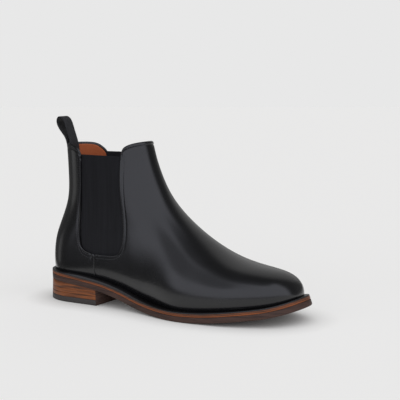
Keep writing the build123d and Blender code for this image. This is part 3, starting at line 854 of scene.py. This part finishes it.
# ---------------- canvas between leather and lining
def cloth_edges():
    """The vamp's edges, the top lowered and the sides clear of the elastic."""
    top_curve = spline(lowered(VAMP_TOP, CANVAS_DROP), 300)
    top_curve = top_curve[top_curve[:, 0] > VAMP_TOP[0][0] + CANVAS_MARGIN]
    seam_x, low_z = SEAM_X + CANVAS_MARGIN, GORE_BOTTOM_Z - CANVAS_MARGIN
    side = [tuple(top_curve[0])] + [(x + CANVAS_MARGIN, z) for x, z in GORE_FRONT[1:]]
    side += [(GORE_FRONT_CORNER[0] + 6, GORE_FRONT_CORNER[1] - 5), (94, low_z), (seam_x, low_z)]
    cut = even(np.vstack([spline(side, 300), [(seam_x, float(feather(seam_x)) - TUCK_IN)]]), 400)
    return (around_front(top_curve), around_front(welt_line(seam_x, 316)),
            path_on(cut), path_on(cut, True))


cloth = panel("vamp_canvas", *cloth_edges(), (60, 110), MIDDLE, CANVAS, canvas)
own(cloth, "vamp_interlining")


# ---------------- back strip
def strip_edge(side):
    """Edge of the strip over the back seam, from its top to the welt."""
    z = np.linspace(STRIP_TOP_Z, float(feather(3)) + 0.4, 120)
    half = np.interp(z, [30, 120], [STRIP_FOOT, STRIP_HEAD])
    share, _ = surface.place(surface.back_x(z), z)
    turns = np.linspace(0, 0.6, 80)
    y = np.abs(surface.point(share[:, None], turns[None, :])[..., 1])
    turn = np.array([np.interp(h, row, turns) for h, row in zip(half, y)])
    return np.column_stack([share, side * turn])


strip_left, strip_right = strip_edge(1), strip_edge(-1)
strip = panel("seam_strip", np.vstack([strip_left[:1], strip_right[:1]]),
              np.vstack([strip_left[-1:], strip_right[-1:]]), strip_left, strip_right,
              (80, 16), -BACK_STRIP, BACK_STRIP, black_leather)
own(strip, "back_strip")


# ---------------- welt, outsole and heel
WELT_INSIDE = -6                # the welt's inner edge, under the upper
SOLE_BOTTOM = -WELT - OUTSOLE   # below the welt's top


def welt_layer(name, top, bottom, mat, soft, swell=(0.0, 0.0)):
    """One layer of the welt, from `top` to `bottom` mm below the welt's top.

    `soft` is how far down its outer edge is rounded, and `swell` how far its upper and lower
    faces are moved at the waist.
    """
    edge = WELT_OVERHANG
    section = [(WELT_INSIDE, -top), (edge - soft - 0.6, -top), (edge - soft * 0.4, -top - soft * 0.15),
               (edge - soft * 0.1, -top - soft * 0.5), (edge, -top - soft), (edge, -bottom + 0.25),
               (edge - 0.25, -bottom + 0.02), (WELT_INSIDE, -bottom + 0.02)]
    middle = -(top + bottom) / 2
    rings = [sole_ring(g, h, swell=swell[0] if h > middle else swell[1]) for g, h in section]
    own(stack(name, rings, mat, hollow=True), "welt")


# the black rand is real, but its swell at the waist, 1.5 mm up and 0.5 mm down, is a dark band painted in for
# the shade in the crease between leather and welt
welt_layer("welt_rand", 0, RAND, rand_leather, 0.8, (1.5, -0.5))
welt_layer("welt_layer", RAND, WELT - WELT_LINE, welt_edge, 0.3, (-0.5, 0.0))
welt_layer("welt_line", WELT - WELT_LINE, WELT, welt_stripe, 0.2)

# how far inside the welt's edge, and how high above the welt's top
outsole_section = [(0.7, -WELT), (0.25, -WELT - 0.3), (0, -WELT - 0.9), (0, SOLE_BOTTOM + 1.4),
                   (0.35, SOLE_BOTTOM + 0.5), (1.2, SOLE_BOTTOM)]
slab = stack("outsole_slab", [sole_ring(WELT_OVERHANG - g, h) for g, h in outsole_section], sole_edge)
own(slab, "outsole")


def heel_slab(name, node, low, high, mat):
    """One layer of the heel, its edges slightly rounded; `high` None means up to the outsole.

    Its breast, the face towards the toe, has a darker look of its own.
    """
    rings = [heel_ring(-0.5, low), heel_ring(-0.12, low + 0.15), heel_ring(0, low + 0.5)]
    if high is None:
        top = heel_ring(0, None)
        near_top = top.copy()
        near_top[:, 2] -= 0.5
        rings += [near_top, heel_ring(-0.4, None)]
    else:
        rings += [heel_ring(0, high - 0.4), heel_ring(-0.1, high - 0.12), heel_ring(-0.4, high)]
    slab = stack(name, rings, mat, open_ring=True)
    slab.data.materials.append(heel_breast)
    for face in slab.data.polygons:
        face.material_index = int(face.normal.x > 0.8)
    own(slab, node)


heel_slab("top_lift", "top_piece", 0, TOP_PIECE, rubber)
heel_slab("lift_low", "heel_lift_1", TOP_PIECE, TOP_PIECE + LIFT, heel_edge)
heel_slab("lift_middle", "heel_lift_2", TOP_PIECE + LIFT, TOP_PIECE + 2 * LIFT, heel_edge)
heel_slab("lift_high", "heel_lift_3", TOP_PIECE + 2 * LIFT, None, heel_edge)


# ---------------- pull tab
def tab_line():
    """Middle line of the strap in side view: up outside the boot, over, and down inside."""
    foot, top = np.array(TAB_PIVOT), np.array(TAB_TOP)
    up = (top - foot) / np.linalg.norm(top - foot)
    across = np.array([up[1], -up[0]])
    length = np.linalg.norm(top - foot) - TAB_STRAP / 2
    # shares of the loop's length, and half the gap between its legs there
    gaps = ((0.12, TAB_LEG_SPREAD * 0.8), (0.45, TAB_BULGE * 0.8), (0.75, TAB_BULGE),
            (0.93, TAB_BULGE * 0.66))
    left = [foot + up * length * s - across * w for s, w in gaps]
    right = [foot + up * length * s + across * w for s, w in reversed(gaps)]
    sewn = np.array([155.0, 162.0, 169.0])        # heights of the sewn ends
    back = surface.back_x(sewn)
    outside = list(zip(back - 0.2, sewn))         # between the quarters and the strip over their seam
    inside = list(zip(back + UPPER + TAB_STRAP / 2, sewn))[::-1]
    return spline(outside + left + [foot + up * length] + right + inside, 160)


line = tab_line()
along = np.gradient(line, axis=0)
along /= np.linalg.norm(along, axis=1)[:, None]
facing = np.stack([-along[:, 1], along[:, 0]], 1)
half_w, half_t = TAB_WIDTH / 2, TAB_STRAP / 2
# section of the strap: across its breadth, and shares of half its thickness
section = [(y, 1.0) for y in np.linspace(-half_w + 0.5, half_w - 0.5, 17)]
section += [(half_w - 0.1, 0.7), (half_w, 0), (half_w - 0.1, -0.7)]
section += [(y, -1.0) for y in np.linspace(half_w - 0.5, -half_w + 0.5, 17)]
section += [(-half_w + 0.1, -0.7), (-half_w, 0), (-half_w + 0.1, 0.7)]
wrap = 1 - ease((line[:, 1] - 162) / 16)          # follows the boot's round back where it is sewn
tab_points = []
for (x, z), (fx, fz), hug in zip(line, facing, wrap):
    tab_points += [(x + fx * half_t * t + hug * y * y / (2 * TAB_BACK_RADIUS), y, z + fz * half_t * t)
                   for y, t in section]
n = len(section)
tab_faces = grid_faces(len(line), n, closed=True)
tab_faces += [tuple(range(n)), tuple(range(len(tab_points) - n, len(tab_points)))]
tab = make_object("pull_strap", tab_points, tab_faces, webbing)
pivot = to_frame(np.array([[TAB_PIVOT[0], 0.0, TAB_PIVOT[1]]]))[0]
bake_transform(tab)
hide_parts("pull_tab", "tab_end_outer", "tab_end_inner")


# ---------------- carried-over CAD nodes
for node, mat in (("insole", board), ("sock_lining", lining_leather), ("heel_pad", lining_leather),
                  ("toe_puff", stiffener), ("heel_counter", stiffener), ("quarter_interlining", canvas),
                  ("shank", steel), ("cork_filler", cork), ("heel_nails", steel)):
    for material_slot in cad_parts[node].material_slots:
        material_slot.material = mat


# ---------------- stage, light and camera
AZIMUTH, ELEVATION = math.radians(30.4), math.radians(7.0)      # direction of the camera
# the table's corners, metres to the right of the boot and ahead of it as the camera sees them; it
# ends a little to the left of the picture, where the leather mirrors the dark room
TABLE_CORNERS = [(-0.135, -0.34), (6.0, -0.34), (-1.35, 6.0), (6.0, 6.0)]
FLOOR_GLOW = 0.55               # the white table glows by itself as well, though it is no lamp
SHADE_REACH = 0.035             # metres from the sole over which the glow fades: a painted contact shadow


def glowing_floor_painted_shadow(look):
    """White table with a glow of its own, dimmed by ambient occlusion where the sole is close: a painted
    contact shadow.
    """
    shade = look.nodes.new("ShaderNodeAmbientOcclusion")
    shade.inputs["Distance"].default_value = SHADE_REACH
    shade.samples = 8
    glow = look.nodes.new("ShaderNodeMath")
    glow.operation = "MULTIPLY"
    look.links.new(shade.outputs["AO"], glow.inputs[0])
    glow.inputs[1].default_value = FLOOR_GLOW
    look.inputs["Emission Color"].default_value = (1, 1, 1, 1)
    look.links.new(glow.outputs[0], look.inputs["Emission Strength"])


bpy.ops.mesh.primitive_plane_add(location=(0, 0, 0))
floor = bpy.context.object
floor.name = "floor"
across = Vector((math.cos(AZIMUTH), math.sin(AZIMUTH), 0))
ahead = Vector((-math.sin(AZIMUTH), math.cos(AZIMUTH), 0))
for corner, (right, forward) in zip(floor.data.vertices, TABLE_CORNERS):
    corner.co = right * across + forward * ahead
floor.data.materials.append(material("floor", (0.46, 0.45, 0.41), 0.9, glowing_floor_painted_shadow, Specular_IOR_Level=0.0))

BACKDROP = 0.807                # what the camera itself sees behind the table
ROOM = 0.12                     # brightness of the dark studio
WALL_LIGHT = 1.15
WALL_COLOUR = (0.96, 0.98, 1.10)
SIDE_LIGHT = 0.45
RIM_LIGHT = 0.35
# a direction, the cosines of the angles from it between which a light changes, and what it
# changes from and to if not from 0 to 1
WALL = ((0.53, -0.83, 0.18), 0.06, 0.36)                        # big white wall, towards the toe
WALL_TOP = ((0, 0, 1), 0.90, 0.985, 1.0, 0.15)                  # darker overhead
WALL_FOOT = ((0, 0, 1), -0.10, 0.0)                             # and it stands on the table
WALL_FLAG = ((-0.341, -0.545, 0.766), 0.899, 0.978, 1.0, 0.4)   # a part of it kept darker
SIDE = ((-0.9865, -0.1387, -0.087), 0.986, 0.996)               # narrow light to the left
RIM = ((-0.25, 0.80, 0.55), 0.80, 0.95)                         # soft light behind the heel

world = bpy.data.worlds.new("studio")
bpy.context.scene.world = world
world.use_nodes = True


def studio(nodes, links):
    """Light of the studio, and a plain backdrop for the camera."""
    out = nodes["World Output"]
    plain = nodes["Background"]
    plain.inputs["Color"].default_value = (BACKDROP, BACKDROP, BACKDROP, 1)
    coords = nodes.new("ShaderNodeTexCoord")

    def math_node(kind, a, b, c=None):
        """Output of a sum or product of numbers and other outputs."""
        node = nodes.new("ShaderNodeMath")
        node.operation = kind
        for i, value in enumerate((a, b, c)):
            if isinstance(value, (int, float)):
                node.inputs[i].default_value = value
            elif value is not None:
                links.new(value, node.inputs[i])
        return node.outputs[0]

    def towards(direction, start, end, low=0.0, high=1.0):
        """`low` to `high` as the cosine of the angle from a direction goes from start to end."""
        dot = nodes.new("ShaderNodeVectorMath")
        dot.operation = "DOT_PRODUCT"
        links.new(coords.outputs["Generated"], dot.inputs[0])
        dot.inputs[1].default_value = Vector(direction).normalized()
        node = nodes.new("ShaderNodeMapRange")
        node.interpolation_type = "SMOOTHSTEP"
        links.new(dot.outputs["Value"], node.inputs["Value"])
        for key, value in (("From Min", start), ("From Max", end), ("To Min", low), ("To Max", high)):
            node.inputs[key].default_value = value
        return node.outputs["Result"]

    wall = towards(*WALL)
    for change in (WALL_TOP, WALL_FLAG, WALL_FOOT):
        wall = math_node("MULTIPLY", wall, towards(*change))
    room = nodes.new("ShaderNodeBackground")
    dim = math_node("MULTIPLY_ADD", towards(*RIM), RIM_LIGHT, ROOM)
    links.new(math_node("MULTIPLY_ADD", towards(*SIDE), SIDE_LIGHT, dim), room.inputs["Strength"])
    room.inputs["Color"].default_value = (1, 1, 1, 1)
    bright = nodes.new("ShaderNodeBackground")
    links.new(math_node("MULTIPLY", wall, WALL_LIGHT), bright.inputs["Strength"])
    bright.inputs["Color"].default_value = (*WALL_COLOUR, 1)
    lit = nodes.new("ShaderNodeAddShader")
    links.new(room.outputs["Background"], lit.inputs[0])
    links.new(bright.outputs["Background"], lit.inputs[1])
    path = nodes.new("ShaderNodeLightPath")
    mix = nodes.new("ShaderNodeMixShader")
    links.new(path.outputs["Is Camera Ray"], mix.inputs["Fac"])
    links.new(lit.outputs["Shader"], mix.inputs[1])
    links.new(plain.outputs["Background"], mix.inputs[2])
    links.new(mix.outputs["Shader"], out.inputs["Surface"])


studio(world.node_tree.nodes, world.node_tree.links)
world.cycles.sampling_method = "MANUAL"
world.cycles.sample_map_resolution = 1024
bpy.context.scene.view_settings.view_transform = "Standard"

# the camera's distance, what it looks at and its focal length
DISTANCE = 1.111
LOOK_AT = to_frame(np.array([[186.4, 0.0, 117.7]]))[0]
FOCAL_PIXELS, FRAME_PIXELS, SENSOR = 1072.0, 400.0, 36.0
camera_data = bpy.data.cameras.new("camera")
camera_data.sensor_width = SENSOR
camera_data.lens = SENSOR * FOCAL_PIXELS / FRAME_PIXELS
camera = bpy.data.objects.new("camera", camera_data)
bpy.context.scene.collection.objects.link(camera)
backwards = Vector((math.sin(AZIMUTH) * math.cos(ELEVATION), -math.cos(AZIMUTH) * math.cos(ELEVATION),
                    math.sin(ELEVATION)))
camera.location = Vector(LOOK_AT) + backwards * DISTANCE
camera.rotation_euler = backwards.to_track_quat("Z", "Y").to_euler()
bpy.context.scene.camera = camera
